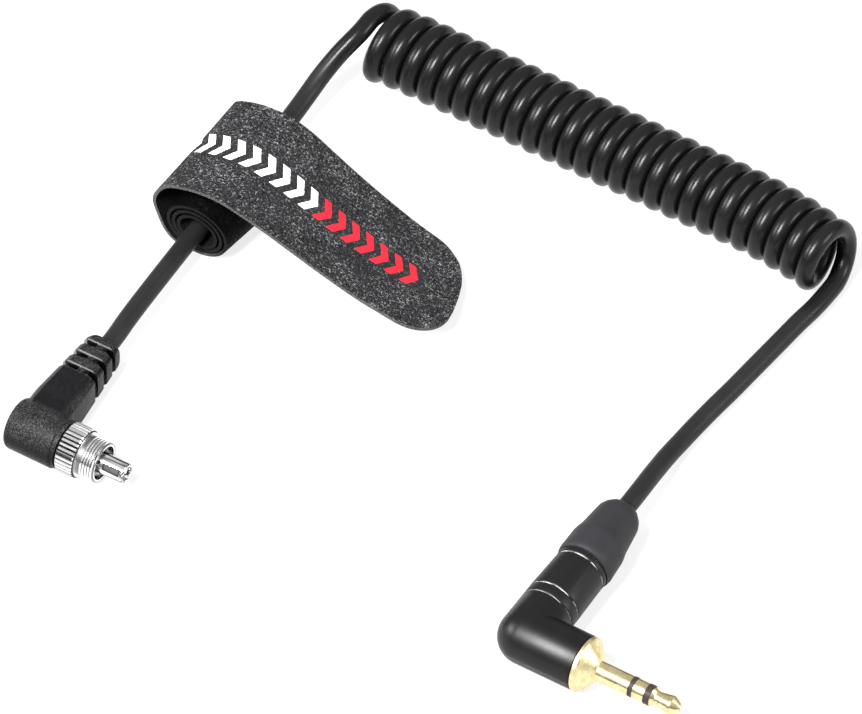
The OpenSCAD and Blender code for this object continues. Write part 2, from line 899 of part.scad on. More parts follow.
module jack_tip_contact() {
    waist = 3.6;
    color("#e2c46c")
        plug_axis()
        turned([
            [0, tip_tag_x - 0.4],
            [tip_rod_r, tip_tag_x - 0.4],
            [tip_rod_r, tip_start],
            [shank_r, tip_start],
            [shank_r - 0.45, tip_start + 0.55],
            [shank_r - 0.5, tip_start + 0.9],
            [shank_r - 0.1, tip_start + waist - 0.4],
            [shank_r - 0.1, tip_start + waist],
            [shank_r - 0.9, tip_end - 0.35],
            [shank_r - 1.3, tip_end],
            [0, tip_end]
        ]);
}

// Soldering tag: a washer on its tube, with an arm towards the cord
module tag(x, bore, washer_r, arm_w, arm_end) {
    plug_axis(x)
        difference() {
            union() {
                rod(washer_r, tag_t);
                translate([-arm_w / 2, 0, 0]) cube([arm_w, arm_end, tag_t]);
            }
            translate([0, 0, -through]) rod(bore, tag_t + 2 * through);
        }
}

module jack_ring_tag() {
    color("#d8d2b8") tag(ring_tag_x, ring_tube_r, 1.6, 1.2, 3);
}

module jack_tip_tag() {
    color("#d8d2b8") tag(tip_tag_x, tip_rod_r, 1.2, 1.2, 2.8);
}

module jack_ground_tag() {
    color("#d8d2b8") tag(ground_tag_x, rear_tube_r + 0.3, insert_r - 0.3, 1, 2);
}

module jack_wire(points, final) {
    in_frame()
        translate([jack_x, jack_y, jack_z])
        wire(points, [0, -1, 0], final);
}

module jack_signal_wire() {
    color("#b03028")
        jack_wire(
            [[-0.6, jack_tail_start, 0], [-0.5, 5.8, 0], [0.4, 4, -0.2], [1.5, 2.7, -0.1],
                [tip_tag_x - 0.05, 2.2, 0]],
            [1, -0.2, 0]
        );
}

module jack_ground_wire() {
    color("#e6e6e2")
        jack_wire(
            [[0.6, jack_tail_start, 0], [1.1, 5, 0.4], [1.6, 3.4, 0.8], [2.6, 2.5, 1.1],
                [ground_tag_x - 0.05, 2.2, 1.3]],
            [1, -0.2, 0]
        );
}

// End of the cord's jacket, which bends between the barrel and the boot
module jack_cord_tail() {
    color("#1b1b1c") {
        barrel_axis(jack_tail_start) rod(cord_r, barrel_end - jack_tail_start);
        boot_axis() sphere(r = cord_r + fit / 2);
        boot_axis() rod(cord_r, seam + boot_len);
    }
}

/* Cord tie */

module tie_roll() {
    color("#3c3d40") in_frame() skin(roll_points, 4);
}

module tie_loop() {
    color("#3c3d40") in_frame() skin(loop_points, 4);
}

module tie_flap() {
    color("#3c3d40") in_frame() skin(flap_points, 4);
}

sync_overmould();
sync_inner_mould();
sync_contact_tube();
sync_insulator();
sync_centre_pin();
sync_signal_wire();
sync_ground_wire();
sync_cord_tail();
lock_ring();
cord_sync_end();
curly_cord();
cord_jack_end();
jack_elbow();
jack_elbow_cover();
jack_barrel();
jack_chuck();
jack_boot();
jack_sleeve_contact();
jack_rear_insulator();
jack_ring_contact();
jack_front_insulator();
jack_tip_contact();
jack_ring_tag();
jack_tip_tag();
jack_ground_tag();
jack_signal_wire();
jack_ground_wire();
jack_cord_tail();
tie_roll();
tie_loop();
tie_flap();
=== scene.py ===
import json
from math import ceil, cos, pi, radians, sin, sqrt

import bpy
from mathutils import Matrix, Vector
from mathutils.kdtree import KDTree


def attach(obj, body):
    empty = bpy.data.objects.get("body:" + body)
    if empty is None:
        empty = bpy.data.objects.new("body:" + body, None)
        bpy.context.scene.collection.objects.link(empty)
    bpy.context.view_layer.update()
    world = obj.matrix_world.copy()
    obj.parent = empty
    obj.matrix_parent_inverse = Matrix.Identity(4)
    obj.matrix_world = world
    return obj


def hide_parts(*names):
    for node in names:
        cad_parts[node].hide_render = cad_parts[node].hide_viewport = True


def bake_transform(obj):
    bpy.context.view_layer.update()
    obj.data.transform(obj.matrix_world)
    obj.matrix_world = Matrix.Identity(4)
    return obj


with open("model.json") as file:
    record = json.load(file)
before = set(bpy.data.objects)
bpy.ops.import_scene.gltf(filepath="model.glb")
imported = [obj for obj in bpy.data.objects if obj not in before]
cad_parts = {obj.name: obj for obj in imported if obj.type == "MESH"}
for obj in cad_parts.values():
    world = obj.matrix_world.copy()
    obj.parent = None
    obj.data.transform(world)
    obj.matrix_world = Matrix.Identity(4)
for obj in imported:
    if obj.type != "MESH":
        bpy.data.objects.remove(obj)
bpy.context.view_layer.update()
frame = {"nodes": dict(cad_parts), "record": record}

nodes = frame["nodes"]
slots = {part["node"]: part["material_slot"] for part in frame["record"]["subparts"]}
MM = 0.001

# The layout's corner in the row frame, in mm
LAYOUT = (-56.06696, -33.575, 0.0)


def place(point):
    """A point of the layout, in mm, as metres in the row frame."""
    return Vector([(p + s) * MM for p, s in zip(point, LAYOUT)])


# ---------------------------------------------------------------- sizes, in mm of the layout

# The lock ring's front face and radius
RING_FRONT, RING_R = 10.4, 4.3

# The sync plug's strain relief: its axis and lean, its half width at the root's line, how that
# tapers, and its ribs' front edges
SYNC_Z = 4.45
TAIL_X, TAIL_LEN, TAIL_LEAN = 1.3, 20.6, radians(1)
TAIL_WAY = (-sin(TAIL_LEAN), cos(TAIL_LEAN), 0)
TAIL_SKIN, TAIL_TAPER = 4.26, 0.0685
RIB_EDGES = (13.05, 16.0, 18.95)

# The jack: its corner, the lid's seam, the back of its gold rim, the turned grooves along its
# barrel, and where its boot ends
JACK_X, JACK_Y, JACK_Z = 90.83, 4.6, 4.75
SEAM_Z, RIM_BACK = 3.9, JACK_X + 10.6
GROOVES = (6.0, 8.1, 15.9, 17.0)
BARREL_END, BOOT_REACH, BOOT_LEAN = 17.0, 14.15, radians(3)

# The cord's thickness and its curls: their turns, pitch and radius, where they start and their
# axis. At both ends they part by END_GAP and lean forward, the first turns by PULL_IN and the last
# by PULL_OUT
CORD_D = 3.2
CURL_TURNS, CURL_PITCH, CURL_R = 26, 3.32, 5.1
CURL_START, CURL_BACK, CURL_Z = 3.75, 99.2, 6.7
CURLS_END = CURL_TURNS + 0.5
END_GAP = 0.6
PULL_IN, PULL_IN_TURNS = 1.0, 2.2
PULL_OUT, PULL_OUT_TURNS = 2.2, 5.5
POINTS_PER_CURL = 16

# The cord's way out of each plug: the sync cord up to the first curl, and the jack's cord, with X
# from the jack's corner, up to the last one
SYNC_EXIT = (TAIL_X - TAIL_LEN * sin(TAIL_LEAN), TAIL_LEN * cos(TAIL_LEAN), SYNC_Z)
SYNC_ROUTE = [
    (0.6, 27.5, 4.45), (0.42, 31, 4.45), (0.28, 35, 4.45), (0.14, 40, 4.45), (0, 46, 4.45),
    (0, 52, 4.45), (0, 58, 4.45), (0, 64, 4.45), (0, 70, 4.45), (0, 75, 4.45),
    (-0.1, 79.5, 4.6), (-0.1, 83.6, 5.15), (0.35, 87.6, 6.8), (1.35, 90.9, 8.95),
    (2.2, 92.9, 10.35), (2.9, 94.9, 11.35), (3.12, 96.6, 11.75),
]
JACK_EXIT = (
    JACK_X - BOOT_REACH * sin(BOOT_LEAN), JACK_Y + BARREL_END + BOOT_REACH * cos(BOOT_LEAN), JACK_Z
)
JACK_ROUTE = [
    (-0.8, 38.6, 4.65), (-1, 41.4, 4.3), (-1.3, 44.2, 3.75), (-1.62, 47.2, 3.05),
    (-1.87, 50.7, 2.4), (-1.9, 55, 1.8), (-1.7, 59.5, 1.6), (-1.3, 64, 1.6), (-0.8, 68.5, 1.6),
    (-0.4, 73, 1.6), (0, 77.5, 1.6), (0.4, 82, 1.6), (0.8, 86.5, 1.6), (1.3, 90.5, 1.6),
]

# The strap's front edge, width and thickness
STRAP_FRONT, STRAP_W, STRAP_T = 49.2, 21.6, 0.6
# Its roll: turns, steps to a turn and the angle it starts at, in degrees. Then its radius at the
# heart, how that grows with each turn, and how much more at the far end
ROLL_TURNS, ROLL_STEPS, ROLL_START = 2.875, 24, 225
ROLL_R, ROLL_GROWTH, ROLL_FLARE = 2.75, 0.85, 1.5
# Where its heart lies, how far its far end leans over, how much wider than high its turns are, and
# how much higher each inner turn sits
ROLL_X, ROLL_LEAN, ROLL_WIDER, ROLL_LIFT = 0.2, 2.2, 1.15, 0.72

# The loop and the flap that follow the roll, as X and Z along the strap's near and far edges
LOOP_NEAR = [
    (-1.6, 0.3), (-3.8, 0.6), (-5.6, 2.2), (-6.9, 5.1), (-7.7, 7.9), (-7.2, 10.2),
    (-5.9, 12.2), (-4.2, 13.4), (-1.2, 14.5), (1.6, 15), (4.4, 15.1), (7.4, 14.6),
]
LOOP_FAR = [
    (-1.6, 0.3), (-3.4, 0.7), (-4.9, 2.4), (-6.1, 5.2), (-6.9, 7.7), (-6.3, 9.9),
    (-5.6, 12.2), (-3.9, 13.4), (-0.9, 14.5), (1.8, 14.9), (4.5, 14.9), (7.3, 14.2),
]
FLAP_NEAR = [
    (10.4, 13.8), (13.3, 13), (17.4, 11.6), (22.3, 9.9), (27, 8.4), (31.5, 7.2),
    (35.4, 6.5), (39, 5.9), (41.4, 5.5), (43.2, 5.3), (44.7, 5.1), (46, 5), (46.7, 4.9),
]
FLAP_FAR = [
    (9.8, 13.1), (12.5, 11.5), (16.1, 9.4), (20.4, 7.1), (24.4, 5.2), (28.3, 3.5),
    (31.4, 2.4), (34, 1.6), (35.8, 1.1), (37.3, 0.9), (38.4, 0.8), (39.2, 0.8), (39.6, 0.8),
]

# The flap's rounded end: its corners' radius, half the width left at its tip, and how far along
# the strap the rounding may start
FLAP_CORNER, FLAP_TIP, ROUND_FROM = 9.0, 1.0, 100
# The middle of the hinge line between the loop and the flap, and half the length of strap over
# which the bend weights change there
FLAP_HINGE, BEND_HALF = (7.45, STRAP_FRONT + STRAP_W / 2, 14.9), 3.0
# Squares across the strap's width, and one unit of its UV map, in mm along it and across it
ACROSS, UV_MM = 26, 100

# Chevrons printed along the middle: where they start along the strap, their pitch, the inked
# share of it, half their height, their slant, how many there are and how many of those are white
PRINT_FROM, CHEVRON, STROKE, PRINT_HALF, SLANT = 101.6, 2.9, 0.5, 2.3, 0.6
CHEVRONS, WHITE_ONES = 16, 9

# Longest steps of the cord's line, in metres, and of the strap's, in mm
CORD_STEP, STRAP_STEP = 0.0011, 0.45
# Points of a plug's mesh nearer than JOIN, in metres, are joined, and so are faces flatter than
# FLAT. An edge sharper than this stays one, on the plugs, the cord and the strap
JOIN, FLAT = 2e-6, radians(0.5)
PLUG_EDGE, CORD_EDGE, STRAP_EDGE = radians(30), radians(50), radians(40)


# ---------------------------------------------------------------- camera

AZIMUTH, ELEVATION = radians(31.9), radians(49)
CAMERA_AWAY, CAMERA_SEES = 4.5, 20
LENS, SENSOR = 1164, 36
AIM = Vector((-0.01174, 0.01682, -0.00021))


def aim_camera():
    back = Vector((sin(AZIMUTH) * cos(ELEVATION), -cos(AZIMUTH) * cos(ELEVATION), sin(ELEVATION)))
    bpy.ops.object.camera_add(
        location=AIM + CAMERA_AWAY * back, rotation=back.to_track_quat("Z", "Y").to_euler()
    )
    camera = bpy.context.object
    camera.name = "camera"
    camera.data.lens = LENS
    camera.data.sensor_width = SENSOR
    camera.data.clip_end = CAMERA_SEES
    bpy.context.scene.camera = camera


# ---------------------------------------------------------------- shader nodes

class Value:
    """A socket that can be reckoned with: each operator adds its Math node."""

    def __init__(self, shading, socket):
        self.shading, self.socket = shading, socket

    def math(self, operation, other=0.0):
        return self.shading.math(operation, self, other)

    def __add__(self, other): return self.math("ADD", other)
    def __sub__(self, other): return self.math("SUBTRACT", other)
    def __rsub__(self, other): return self.shading.math("SUBTRACT", other, self)
    def __mul__(self, other): return self.math("MULTIPLY", other)
    def __truediv__(self, other): return self.math("DIVIDE", other)

    __radd__, __rmul__ = __add__, __mul__

    def size(self): return self.math("ABSOLUTE")
    def root(self): return self.math("SQRT")
    def share(self): return self.math("FRACT")
    def most(self, other): return self.math("MAXIMUM", other)
    def least(self, other): return self.math("MINIMUM", other)

    def over(self, low, high, start=0.0, end=1.0):
        """From start at low to end at high, and smooth between them."""
        return self.shading.node(
            "ShaderNodeMapRange", {"interpolation_type": "SMOOTHSTEP"},
            {"Value": self, "From Min": low, "From Max": high, "To Min": start, "To Max": end},
        )

    def near(self, line, inner, outer):
        """1 within inner of the line, 0 beyond outer, and smooth between them."""
        return (self - line).size().over(outer, inner)


class Shading:
    """The nodes of a material or of the studio's light, and the shader that they feed."""

    def __init__(self, owner, shader, **constants):
        owner.use_nodes = True
        self.owner, self.tree = owner, owner.node_tree
        self.shader = self.tree.nodes[shader]
        for socket, value in constants.items():
            self.shader.inputs[socket.replace("_", " ")].default_value = value

    def node(self, kind, settings, sockets, output=0):
        node = self.tree.nodes.new(kind)
        for name, value in settings.items():
            setattr(node, name, value)
        for name, value in sockets.items():
            if isinstance(value, Value):
                self.tree.links.new(value.socket, node.inputs[name])
            else:
                node.inputs[name].default_value = value
        return Value(self, node.outputs[output])

    def math(self, operation, first, second):
        return self.node("ShaderNodeMath", {"operation": operation}, {0: first, 1: second})

    def spots(self, space):
        """The coordinates of this space."""
        return self.node("ShaderNodeTexCoord", {}, {}, space)

    def axes(self, spots):
        split = self.node("ShaderNodeSeparateXYZ", {}, {0: spots}).socket.node
        return [Value(self, output) for output in split.outputs]

    def wear(self, **links):
        for socket, value in links.items():
            self.tree.links.new(value.socket, self.shader.inputs[socket.replace("_", " ")])
        return self.owner


class Finish(Shading):
    """A material and the nodes that vary it."""

    def __init__(self, name, **constants):
        super().__init__(bpy.data.materials.new(name), "Principled BSDF", **constants)
        self.spot = self.spots("Object")

    def layout_axes(self):
        """Where a spot is in the layout, along X, Y and Z, in mm."""
        return [axis / MM - corner for axis, corner in zip(self.axes(self.spot), LAYOUT)]

    def strap_axes(self):
        """Where a spot is on the strap, along it and across it, in mm."""
        cut = self.node("ShaderNodeUVMap", {"uv_map": "cut"}, {})
        along, across, _ = self.axes(cut)
        return along * UV_MM, across * UV_MM

    def stretched(self, x, y, z):
        """The coordinates scaled along each axis."""
        return self.node(
            "ShaderNodeVectorMath", {"operation": "MULTIPLY"}, {0: self.spot, 1: (x, y, z)}
        )

    def noise(self, size, detail, rough=0.5, spot=None):
        """Noise whose lumps are about this size, in mm."""
        return self.node("ShaderNodeTexNoise", {}, {
            "Vector": spot or self.spot, "Scale": 1 / (size * MM),
            "Detail": detail, "Roughness": rough,
        })

    def cells(self, size):
        """How far a spot is from the middle of its cell, with cells of about this size, in mm."""
        return self.node(
            "ShaderNodeTexVoronoi", {}, {"Vector": self.spot, "Scale": 1 / (size * MM)}, "Distance"
        )

    def mix(self, share, first, second):
        return self.node(
            "ShaderNodeMix", {"data_type": "RGBA"}, {0: share, 6: first, 7: second}, 2
        )

    def bump(self, height, depth, strength, under=None):
        """Raises the surface by up to depth, in mm, on top of another bump."""
        sockets = {"Height": height, "Distance": depth * MM, "Strength": strength}
        if under:
            sockets["Normal"] = under
        return self.node("ShaderNodeBump", {}, sockets)


def grey(value, tint=0.0):
    """A grey, a little bluer with tint."""
    return (value, value, value * (1 + tint), 1)


# ---------------------------------------------------------------- finishes

# Where a finish changes, in mm: each pair gives where it has none of a thing and where it has all
# The cord's colour is painted lighter where it runs straight than in the shaded curls
STRAIGHT_CORD = (91, 86)
# How far from its middle a mark is full, and how far it reaches: the shaded panel's width, the
# painted highlight lines along the ribs and the grooves, the painted highlight on the lid's seam,
# and the lock ring's face
PANEL_HALF, RIB_LINE, GROOVE_LINE = (2.3, 3.5), (0.06, 0.16), (0.04, 0.13)
SEAM_LINE, FACE_DEPTH = (0.05, 0.12), (0.3, 0.5)
# The neck's smooth panel, painted dark as shade: its two ends, how high it starts, and where it
# stops short of the head's top
PANEL_START, PANEL_END, PANEL_LOW, PANEL_HIGH = (2.2, 2.9), (12.3, 11.7), (6.8, 7.6), (8.5, 8.4)
# The relief slots' floors under the skin, painted black as shade, the ribs' skin that carries the
# painted highlight lines, where the ribs start, and how the flecks' painted highlight grows
# upwards
SLOT_FLOORS = (TAIL_SKIN - 0.42, TAIL_SKIN - 0.52)
RIB_SKIN = (TAIL_SKIN - 0.3, TAIL_SKIN - 0.2)
RIBS, FLECK_TOP_LIGHT = (11, 11.2), (4.5, 8)
# From the jack's corner: where the barrel starts and where the lid's seam shows
BARREL, LID = (5, 5.5), (-3, -3.4)
# From the sync plug's axis: the contact tube, the thread's roots, the collar's bore, the face of
# the lock ring and the roots of its knurl, where the painted shade reaches less deep on the upper
# side
TUBE, THREAD_ROOTS, COLLAR_BORE, RING_FACE = (2.4, 2.2), (3.56, 3.46), (3.2, 3.3), (3.6, 3.8)
KNURL_ROOTS, KNURL_TOP_LIGHT, UPPER_HALF = (RING_R - 0.05, RING_R - 0.12), 0.09, (3, 6)
KNURL, COLLAR = (RING_FRONT, RING_FRONT - 0.05), (RING_FRONT, RING_FRONT + 0.05)
# The dark seat of the jack's gold rim, and its matter collar
RIM_SEAT, GOLD_COLLAR = (RIM_BACK + 0.28, RIM_BACK + 0.16), (RIM_BACK + 3.4, RIM_BACK + 2.8)
# Along the strap, the faces and the cut edge that are wound up in the roll, which are painted dark
# as shade
SHADED_ROLL_FACE, SHADED_ROLL_EDGE = (92, 86), (84, 76)


def jacket_finish():
    """Polished along the curls, duller where the cord runs straight; its colour is painted darker
    in the curls as shade and lighter along the straight cord.
    """
    finish = Finish("cord jacket", Specular_IOR_Level=0.19)
    _, y, _ = finish.layout_axes()
    cloud, grain = finish.noise(6, 3), finish.noise(0.3, 3, 0.6)
    straight = y.over(*STRAIGHT_CORD)
    # painted shade: the curls are coloured darker than the straight cord, which is painted lighter
    painted_shade_curls = finish.mix(cloud, grey(0.003, 0.04), grey(0.008, 0.04))
    painted_light_straight = finish.mix(cloud, grey(0.006, 0.02), grey(0.015, 0.02))
    return finish.wear(
        Base_Color=finish.mix(straight, painted_shade_curls, painted_light_straight),
        Roughness=0.2 + 0.1 * cloud + 0.06 * grain + 0.16 * straight,
        Normal=finish.bump(finish.noise(2.5, 1), 0.03, 0.4, finish.bump(grain, 0.01, 0.7)),
    )


def moulding_finish():
    """Soft moulding: spark-eroded grain with pale flecks painted as highlights towards the top, a
    smooth panel on the neck painted dark as shade, relief slots painted black as shade, and
    painted highlight lines on the ribs' edges.
    """
    finish = Finish("soft moulding", Specular_IOR_Level=0.1)
    x, y, z = finish.layout_axes()
    wobble = 0.5 * finish.noise(1.2, 2)
    shaded_panel = (
        x.near(TAIL_X, *PANEL_HALF) * y.over(*PANEL_START) * (y + wobble).over(*PANEL_END)
        * z.over(*PANEL_LOW) * z.over(*PANEL_HIGH)
    )
    half = (x - TAIL_X).size().most((z - SYNC_Z).size()) + TAIL_TAPER * y
    slot_painted_shade = half.over(*SLOT_FLOORS) * y.over(*RIBS)
    painted_edge_highlight = sum(y.near(edge, *RIB_LINE) for edge in RIB_EDGES) * half.over(*RIB_SKIN)
    grain, pits = finish.noise(0.19, 3, 0.65), finish.cells(0.22)
    cloud = finish.noise(4, 3)
    fleck = (0.6 * grain + 0.4 * pits).over(0.42, 0.66)
    painted_top_light = z.over(*FLECK_TOP_LIGHT) * (0.1 + cloud)
    colour = finish.mix(cloud, grey(0.002, 0.06), grey(0.005, 0.06))
    # painted highlight: the grain's flecks are coloured pale, more towards the top
    colour = finish.mix(fleck * painted_top_light, colour, grey(0.065, 0.04))
    # painted shade: the smooth panel on the neck's top is coloured dark
    colour = finish.mix(shaded_panel * 0.85, colour, grey(0.003, 0.25))
    # painted shade: the relief slots' floors are coloured black
    colour = finish.mix(slot_painted_shade, colour, grey(0.001))
    # painted highlight: pale lines along the ribs' edges
    colour = finish.mix(painted_edge_highlight * (0.35 + 0.65 * cloud), colour, grey(0.2))
    return finish.wear(
        Base_Color=colour,
        Roughness=0.26 + 0.14 * grain + 0.1 * shaded_panel,
        Normal=finish.bump(fleck * (1 - 0.95 * shaded_panel), 0.04, 0.8),
    )


def boot_finish():
    """Rubber skin: fine grain over soft waves."""
    finish = Finish("boot rubber", Specular_IOR_Level=0.25)
    grain, cloud = finish.noise(0.25, 3, 0.6), finish.noise(5, 3)
    return finish.wear(
        Base_Color=finish.mix(0.7 * cloud + 0.3 * grain, grey(0.009, 0.18), grey(0.022, 0.15)),
        Roughness=0.5 + 0.14 * grain,
        Normal=finish.bump(grain, 0.02, 0.7, finish.bump(cloud, 0.08, 0.4)),
    )


def shell_finish():
    """Lacquered metal, with painted highlights along the edges of the turned grooves and along the
    lid's seam.
    """
    finish = Finish("black lacquered metal", Specular_IOR_Level=0.28)
    _, y, z = finish.layout_axes()
    y = y - JACK_Y
    peel, cloud = finish.noise(0.3, 3, 0.6), finish.noise(4, 3)
    turning = finish.noise(0.12, 2, spot=finish.stretched(0.08, 1, 0.08))
    barrel = y.over(*BARREL)
    highlight_breaks = finish.noise(2.2, 2).over(0.38, 0.58)
    painted_edge_highlight = sum(y.near(groove, *GROOVE_LINE) for groove in GROOVES) * highlight_breaks
    painted_seam_highlight = z.near(SEAM_Z, *SEAM_LINE) * y.over(*LID)
    shade = cloud * (1 - barrel) + turning * barrel
    colour = finish.mix(shade, grey(0.001, 0.05), grey(0.004, 0.05))
    # painted highlight: a pale line along the lid's seam
    colour = finish.mix(painted_seam_highlight * 0.6, colour, grey(0.11))
    # painted highlight: pale lines along the turned grooves' edges, broken up by noise
    colour = finish.mix(painted_edge_highlight, colour, grey(0.4))
    return finish.wear(
        Base_Color=colour,
        Roughness=0.32 + 0.1 * cloud + 0.16 * barrel * turning,
        Normal=finish.bump(turning * barrel + peel * (1 - barrel), 0.012, 0.6),
    )


def nickel_finish():
    """Bright plate, dull at the roots of the knurl and the thread and painted dark there as shade,
    with dark reflections painted in streaks along the contact tube.
    """
    finish = Finish("bright nickel plate", Metallic=1.0)
    x, y, z = finish.layout_axes()
    up = z - SYNC_Z
    reach = (y * y + up * up).root()
    lines = finish.noise(0.05, 2, spot=finish.stretched(1, 0.04, 0.04))
    cloud = finish.noise(1.2, 3)
    lit_reach = reach + KNURL_TOP_LIGHT * z.over(*UPPER_HALF)
    knurl = x.over(*KNURL) * lit_reach.over(*KNURL_ROOTS)
    thread = x.over(*COLLAR) * reach.over(*THREAD_ROOTS) * reach.over(*COLLAR_BORE)
    painted_root_shade = (knurl + thread * 0.8).least(1)
    face = x.near(RING_FRONT, *FACE_DEPTH) * reach.over(*RING_FACE)
    painted_tube_reflections = finish.noise(0.55, 2, 0.6, spot=finish.stretched(0.05, 1, 1)).over(0.44, 0.58)
    colour = finish.mix(cloud, grey(0.84), grey(0.98))
    # painted reflection: dark streaks along the contact tube
    colour = finish.mix(painted_tube_reflections * reach.over(*TUBE) * 0.85, colour, grey(0.1))
    return finish.wear(
        # painted shade: the roots of the knurl and the thread are coloured dark, less so on the
        # knurl's upper side
        Base_Color=finish.mix(painted_root_shade, colour, grey(0.045)),
        Roughness=0.06 + 0.1 * lines + 0.05 * cloud + 0.25 * painted_root_shade + 0.12 * face,
        Normal=finish.bump(lines, 0.006, 0.6),
    )


def gold_finish():
    """Polished turned plate, dark where its rim sits in the elbow."""
    finish = Finish("polished gold plate", Metallic=1.0)
    x, _, _ = finish.layout_axes()
    lines = finish.noise(0.07, 3, spot=finish.stretched(1, 0.05, 0.05))
    cloud = finish.noise(1, 3, 0.6)
    shade = (0.5 * lines + 0.5 * cloud).over(0.25, 0.75)
    colour = finish.mix(shade, (0.6, 0.47, 0.22, 1), (0.94, 0.84, 0.53, 1))
    return finish.wear(
        Base_Color=finish.mix(x.over(*RIM_SEAT), colour, (0.05, 0.03, 0.01, 1)),
        Roughness=0.13 + 0.14 * lines + 0.06 * cloud + 0.14 * x.over(*GOLD_COLLAR),
        Normal=finish.bump(lines, 0.008, 0.7),
    )


def plastic_finish(name, dark, light, rough=0.4, grain_size=0.3, depth=0.006, shine=0.5):
    """Plain moulded plastic between these two colours, with a fine grain."""
    finish = Finish(name, Specular_IOR_Level=shine)
    grain, cloud = finish.noise(grain_size, 2), finish.noise(2, 2)
    return finish.wear(
        Base_Color=finish.mix(0.5 * cloud + 0.5 * grain, dark, light),
        Roughness=rough + 0.12 * grain,
        Normal=finish.bump(grain, depth, 0.5),
    )


def tin_finish():
    """Tinned metal, clouded by the solder."""
    finish = Finish("tinned tag", Metallic=1.0)
    cloud = finish.noise(0.8, 3)
    return finish.wear(
        Base_Color=finish.mix(cloud, (0.55, 0.54, 0.5, 1), (0.72, 0.71, 0.67, 1)),
        Roughness=0.3 + 0.2 * cloud,
        Normal=finish.bump(cloud, 0.02, 0.4),
    )


def pile_finish():
    """The loop face of the strap: short matted loops with a printed row of chevrons."""
    finish = Finish("loop pile", Specular_IOR_Level=0.08)
    along, across = finish.strap_axes()
    across = (across - STRAP_W / 2).size()
    cloud, tuft = finish.noise(4, 3), finish.noise(0.28, 2, 0.6)
    loops = finish.noise(0.36, 1).near(0.5, 0.02, 0.08)
    glint = loops * (0.2 * cloud + 0.8 * finish.noise(0.45, 3, 0.7)).over(0.48, 0.64)
    colour = finish.mix(tuft.over(0.38, 0.62), grey(0.004, 0.08), grey(0.026, 0.06))
    colour = finish.mix(glint, colour, grey(0.26, 0.02))
    roll_painted_shade = along.over(*SHADED_ROLL_FACE)
    # painted shade: the faces wound up in the roll are coloured near black, and made metallic to
    # darken them further
    colour = finish.mix(roll_painted_shade * 0.93, colour, grey(0.002))

    # the row of chevrons, counted along the strap, and the cloth pressed flat round it
    ragged = 0.3 * (tuft - 0.5)
    count = (along + SLANT * across + ragged - PRINT_FROM) / CHEVRON
    row = across.over(PRINT_HALF + 0.08, PRINT_HALF - 0.08)
    row = row * count.over(-0.02, 0) * count.over(CHEVRONS, CHEVRONS - 0.02)
    place_in = count.share()
    ink = place_in.over(0, 0.04) * place_in.over(STROKE + 0.04, STROKE) * row
    pressed = across.over(PRINT_HALF + 0.6, PRINT_HALF)
    pressed = pressed * along.over(PRINT_FROM - 2, PRINT_FROM - 1.5)
    pressed = pressed * count.over(CHEVRONS + 0.2, CHEVRONS - 0.2)
    colour = finish.mix(pressed * 0.6, colour, grey(0.018, 0.1))
    red = count.over(WHITE_ONES - 0.2, WHITE_ONES - 0.15)
    inks = finish.mix(red, grey(0.86), (0.62, 0.018, 0.03, 1))
    height = 0.6 * tuft + 0.4 * loops
    return finish.wear(
        Base_Color=finish.mix(ink, colour, inks),
        Roughness=0.8 - 0.15 * glint - 0.25 * ink,
        Metallic=roll_painted_shade * 0.85,
        Normal=finish.bump(height * (1 - 0.8 * ink) + ink, 0.14, 1),
    )


def hook_finish():
    """The hook face of the strap, in a mesh of small dark cells."""
    finish = Finish("hook face", Specular_IOR_Level=0.1)
    rows, cloud = finish.cells(0.35), finish.noise(4, 2)
    return finish.wear(
        Base_Color=finish.mix(cloud * rows.over(0.2, 0.5), grey(0.003), grey(0.012)),
        Roughness=0.6 + 0.3 * rows,
        Normal=finish.bump(rows, 0.1, 0.8),
    )


def edge_finish():
    """The strap's cut edge, paler where it isn't wound up, and painted dark as shade where it is
    wound up in the roll.
    """
    finish = Finish("cut edge", Specular_IOR_Level=0.2)
    along, _ = finish.strap_axes()
    fray = finish.noise(0.3, 3, 0.7)
    colour = finish.mix(fray.over(0.35, 0.65), grey(0.02), grey(0.09))
    roll_painted_shade = along.over(*SHADED_ROLL_EDGE)
    return finish.wear(
        # painted shade: the cut edge is coloured near black where it is wound up in the roll, and
        # made metallic
        Base_Color=finish.mix(roll_painted_shade * 0.9, colour, grey(0.004)),
        Roughness=0.7 + 0.2 * fray,
        Metallic=roll_painted_shade * 0.7,
        Normal=finish.bump(fray, 0.08, 0.8),
    )


# ---------------------------------------------------------------- lines through points

def between(a, b, c, d, t):
    """A point of the smooth line from b to c, with a before it and d after it."""
    return 0.5 * (
        2 * b + (c - a) * t
        + (2 * a - 5 * b + 4 * c - d) * t ** 2
        + (3 * b - a - 3 * c + d) * t ** 3
    )


def spread(points):
    """The points, with one more beyond each end for the line to start and stop on."""
    return [2 * points[0] - points[1], *points, 2 * points[-1] - points[-2]]


def smooth_line(points, most):
    """A smooth line through these points, with no two of its own further apart than most.

    Returns the line's points and, for each, its place in the given list."""
    guides = spread(points)
    line, places = [], []
    for i in range(len(points) - 1):
        steps = max(1, ceil((points[i + 1] - points[i]).length / most))
        for k in range(steps):
            line.append(between(*guides[i:i + 4], k / steps))
            places.append(i + k / steps)
    return line + [points[-1]], places + [len(points) - 1]


def line_at(points, places):
    """The points of the smooth line through these at places found for another line."""
    guides = spread(points)
    line = []
    for spot in places:
        i = min(int(spot), len(points) - 2)
        line.append(between(*guides[i:i + 4], spot - i))
    return line


def lengths_along(line):
    """How far along the line each of its points is."""
    total, reach = 0.0, [0.0]
    for a, b in zip(line, line[1:]):
        total += (b - a).length
        reach.append(total)
    return reach


def clamp(value):
    return min(1, max(0, value))


# ---------------------------------------------------------------- pieces

